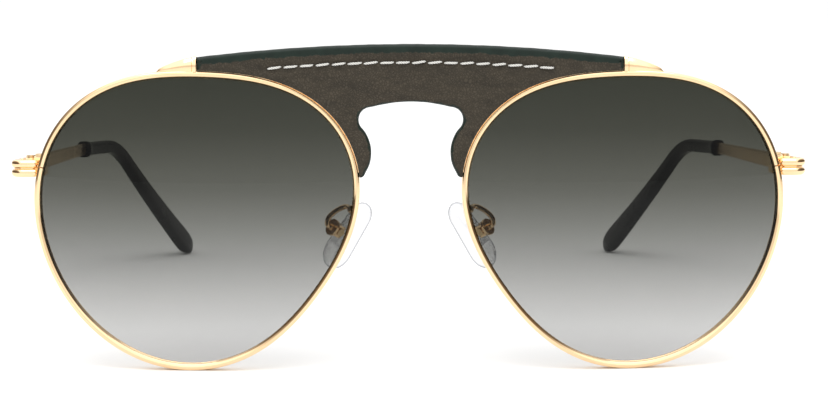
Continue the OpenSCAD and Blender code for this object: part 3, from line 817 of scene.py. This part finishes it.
def temple_point(s):
    b = 0.0 if s < TEMPLE_L else min(EAR_BEND, (s - TEMPLE_L) / EAR_R)
    toe = TOE_IN * max(0.0, (s - 72) / (TEMPLE_END - 72)) ** 1.3
    past = max(0.0, s - TEMPLE_L - EAR_ARC)
    return np.array([1.8 - toe, min(s, TEMPLE_L) + EAR_R * math.sin(b) + past * math.cos(EAR_BEND),
                     -EAR_R * (1 - math.cos(b)) - past * math.sin(EAR_BEND)]), b


def temple_ring(s, outline2d):
    c, b = temple_point(s)
    p = np.asarray(outline2d)
    return c + np.stack([p[:, 0], p[:, 1] * math.sin(b), p[:, 1] * math.cos(b)], -1)


BAR_END = MOUTH_S + 1.5


def bar_half(s):
    return 0.65 - 0.1 * s / BAR_END, 1.5 - 0.35 * s / BAR_END


def temple_bar(name, side):
    rings = []
    rounding = [(0.06, 0.12), (0.1, 0.05), (0.2, 0.0)]
    for s, shrink in rounding + [(x, 0.0) for x in np.linspace(1, BAR_END, 60)]:
        hx, hz = bar_half(s)
        rings.append(temple_ring(s, rounded(hx - shrink, hz - shrink, 0.3)))
    verts, faces = loft(rings)
    make(f"{name}_temple_bar", hinge_place(verts), faces, GOLD_SATIN, f"{name}_temple",
                [f"{name}_temple"], side, sharp=60)


def tip_half(s):
    t = (s - MOUTH_S) / (TEMPLE_END - MOUTH_S)
    flare = max(0.0, 1 - (s - MOUTH_S) / 2.5)
    widen = max(0.0, (t - 0.25) / 0.67) ** 1.4
    blunt = max(0.0, (s - TEMPLE_END + 2.6) / 2.6)
    return (1.25 + 0.2 * flare + 0.25 * min(1, widen) - 0.3 * blunt ** 3,
            1.4 + 0.35 * flare + 1.4 * min(1, widen) - (2.8 - TIP_END_H) * blunt ** 1.5)


def squircle(hx, hz, n=40, power=0.62):
    a = (np.arange(n) + 0.5) * 2 * math.pi / n
    return np.stack([hx * np.sign(np.cos(a)) * np.abs(np.cos(a)) ** power,
                     hz * np.sign(np.sin(a)) * np.abs(np.sin(a)) ** power], -1)


def temple_tip(name, side):
    rings = []
    hx, hz = bar_half(MOUTH_S)
    for s, grow in ((MOUTH_S + 1.3, 0.05), (MOUTH_S + 0.5, 0.08), (MOUTH_S + 0.1, 0.16)):
        rings.append(temple_ring(s, squircle(hx + grow, hz + grow)))
    ox, oz = tip_half(MOUTH_S)
    rings.append(temple_ring(MOUTH_S, squircle(ox - 0.3, oz - 0.3)))
    rings.append(temple_ring(MOUTH_S + 0.02, squircle(ox - 0.12, oz - 0.12)))
    rings.append(temple_ring(MOUTH_S + 0.1, squircle(ox - 0.03, oz - 0.03)))
    mouth = MOUTH_S + np.array([0.25, 0.6, 1.0, 1.6, 2.3, 3.2])
    middle = np.linspace(MOUTH_S + 4.5, TEMPLE_END - 5, 60)
    end = TEMPLE_END - np.array([4.4, 3.8, 3.2, 2.6, 2.0, 1.5, 1.0, 0.6, 0.3])
    for s in np.concatenate([mouth, middle, end]):
        rings.append(temple_ring(s, squircle(*tip_half(s))))
    ex, ez = tip_half(TEMPLE_END)
    for back, shrink in ((0.12, 0.02), (0.03, 0.1), (0.0, 0.24)):
        rings.append(temple_ring(TEMPLE_END - back, squircle(ex - shrink, ez - shrink)))
    verts, faces = loft(rings)
    make(f"{name}_temple_tip_sleeve", hinge_place(verts), faces, ACETATE, f"{name}_temple",
                [f"{name}_temple_tip"], side, sharp=50)


# ------------------------------------------------------------------ nose pads
def egg(inset, n=64):
    """Outline of a pad, z up and y across: two circles and their tangents, smaller by inset."""
    (z1, r1), (z2, r2) = (3.8, 2.7 - inset), (-3.2, 3.4 - inset)
    tilt = math.degrees(math.asin((r2 - r1) / (z1 - z2)))
    upper = arc(0, z1, r1, tilt, 180 - tilt, 40)
    lower = arc(0, z2, r2, 180 - tilt, 360 + tilt, 50)
    p = np.array(upper + lower + upper[:1])
    s = np.concatenate([[0], np.cumsum(np.linalg.norm(np.diff(p, axis=0), axis=1))])
    t = np.linspace(0, s[-1], n + 1)[:-1]
    return np.stack([np.interp(t, s, p[:, 0]), np.interp(t, s, p[:, 1])], -1)


def nose_pad(name, side):
    rows = [(-1.3, 2.5), (-1.38, 1.9), (-1.4, 1.3), (-1.33, 0.85), (-1.15, 0.4), (-0.85, 0.1), (-0.5, 0.0),
            (-0.15, 0.06), (0.1, 0.25), (0.3, 0.6), (0.42, 1.0), (0.48, 1.5), (0.5, 2.1), (0.5, 2.6)]
    rings = []
    for x, inset in rows:
        p = egg(inset)
        rings.append(np.stack([np.full(len(p), x), p[:, 0], p[:, 1]], -1))
    verts, faces = loft(rings)
    make(f"{name}_silicone_pad", pad_place(verts), faces, SILICONE, f"{name}_pad",
                [f"{name}_nose_pad"], side)


def pad_arm(name, side):
    line = catmull([[10, 1.8, 28], [11.1, 4, 28.3], [12.8, 4.9, 27.5], [14.1, 5, 26.3], [14.4, 5.2, 25.1],
                    [13.75, 5.85, 24.45]], 60)
    line = line[line[:, 1] > 2.22]
    s = np.linspace(0, 1, len(line))
    radius = 0.45 + 0.28 * np.exp(-(s / 0.045) ** 2) + 0.1 * np.exp(-((1 - s) / 0.05) ** 2)
    verts, faces = tube(line, radius, 20)
    make(f"{name}_pad_arm_wire", verts, faces, GOLD, "front", [f"{name}_pad_arm"], side)


leather("bridge_leather_front", -1, "leather_front", True)
leather("bridge_leather_back", 1, "leather_back", False)
painted_edge()
stitching()
bevelled("bridge_plate", "front", GOLD, 0.05)
for name, side in SIDES:
    rim(name, side)
    lens(name, side)
    brow_cap(name, side)
    end_piece(name, side)
    temple_bar(name, side)
    temple_tip(name, side)
    nose_pad(name, side)
    pad_arm(name, side)
    bevelled(f"{name}_rim_lock_upper", "front", GOLD, 0.12)
    bevelled(f"{name}_rim_lock_lower", "front", GOLD, 0.12)
    bevelled(f"{name}_rim_lock_screw", "front", SCREW, 0.05)
    bevelled(f"{name}_front_hinge", "front", GOLD, 0.08)
    bevelled(f"{name}_temple_hinge", f"{name}_temple", GOLD, 0.08)
    bevelled(f"{name}_hinge_screw", "front", SCREW, 0.05)
    bevelled(f"{name}_pad_box", "front", GOLD, 0.08)
    bevelled(f"{name}_pad_screw", "front", SCREW, 0.05)
    bevelled(f"{name}_pad_insert", f"{name}_pad", INSERT, 0.1)

# ------------------------------------------------------------------ floor, light and camera
mesh = bpy.data.meshes.new("floor")
corners = [(6 * x, 6 * y, -0.00003) for x, y in ((-1, -1), (1, -1), (1, 1), (-1, 1))]
mesh.from_pydata(corners, [], [(0, 1, 2, 3)])
floor = bpy.data.objects.new("floor", mesh)
bpy.context.scene.collection.objects.link(floor)
m, t, out = material("white_table")
p = node(t, "ShaderNodeBsdfDiffuse", Color=(0.96, 0.96, 0.96, 1))
t.links.new(p.outputs[0], out.inputs["Surface"])
mesh.materials.append(m)

world = bpy.data.worlds.new("studio")
bpy.context.scene.world = world
world.use_nodes = True
t = world.node_tree
t.nodes.clear()
out = t.nodes.new("ShaderNodeOutputWorld")
direction = t.nodes.new("ShaderNodeTexCoord").outputs["Generated"]
xyz = t.nodes.new("ShaderNodeSeparateXYZ")
t.links.new(direction, xyz.inputs[0])
across = node(t, "ShaderNodeMath", p_operation="ABSOLUTE")
t.links.new(xyz.outputs["X"], across.inputs[0])
sides = ramp(t, across.outputs[0], [(0.0, (1, 1, 1)), (0.58, (1, 1, 1)), (0.74, (0.16, 0.13, 0.1)),
                                    (1.0, (0.1, 0.08, 0.06))])
levels = [(0.0, 0.5), (0.5, 0.8), (0.62, 1.0), (0.75, 1.5), (1.0, 1.7)]
height = ramp(t, remap(t, xyz.outputs["Z"], -1, 1, 0, 1), [(at, (g, g, g)) for at, g in levels])
both = node(t, "ShaderNodeMixRGB", p_blend_type="MULTIPLY", Fac=1.0)
t.links.new(sides, both.inputs[1])
t.links.new(height, both.inputs[2])
seen = t.nodes.new("ShaderNodeLightPath")
pick = node(t, "ShaderNodeMixRGB")
t.links.new(seen.outputs["Is Glossy Ray"], pick.inputs[0])
pick.inputs[1].default_value = (1, 1, 1, 1)
t.links.new(both.outputs[0], pick.inputs[2])
strength = node(t, "ShaderNodeBackground", Strength=1.05)
t.links.new(pick.outputs[0], strength.inputs["Color"])
t.links.new(strength.outputs[0], out.inputs["Surface"])


def lamp(name, at, aim, size, power):
    light = bpy.data.lights.new(name, "AREA")
    light.shape = "RECTANGLE"
    light.size, light.size_y = size
    light.energy = power
    obj = bpy.data.objects.new(name, light)
    bpy.context.scene.collection.objects.link(obj)
    obj.location = at
    obj.rotation_euler = (Vector(aim) - Vector(at)).to_track_quat("-Z", "Y").to_euler()


lamp("top_softbox", (0, -0.35, 0.95), (0, 0, 0.03), (1.0, 0.6), 4.5)

# The camera stands a little above the front and to the wearer's right, and looks at the middle.
DISTANCE, CAM_Z, ASIDE, PITCH = 0.330, 0.0732, 0.0075, math.radians(8.01)
cam = bpy.data.cameras.new("camera")
cam.sensor_width = 36
cam.lens = 84.7826
cam.shift_x, cam.shift_y = 0.00362, 0.01389
cam.clip_start, cam.clip_end = 0.01, 50
camera = bpy.data.objects.new("camera", cam)
bpy.context.scene.collection.objects.link(camera)
camera.location = (-ASIDE, SHIFT_Y * MM - DISTANCE, CAM_Z)
camera.rotation_euler = (math.pi / 2 - PITCH, 0, -math.atan(ASIDE / DISTANCE))
bpy.context.scene.camera = camera
bpy.context.scene.view_settings.view_transform = "Standard"

bpy.context.view_layer.update()
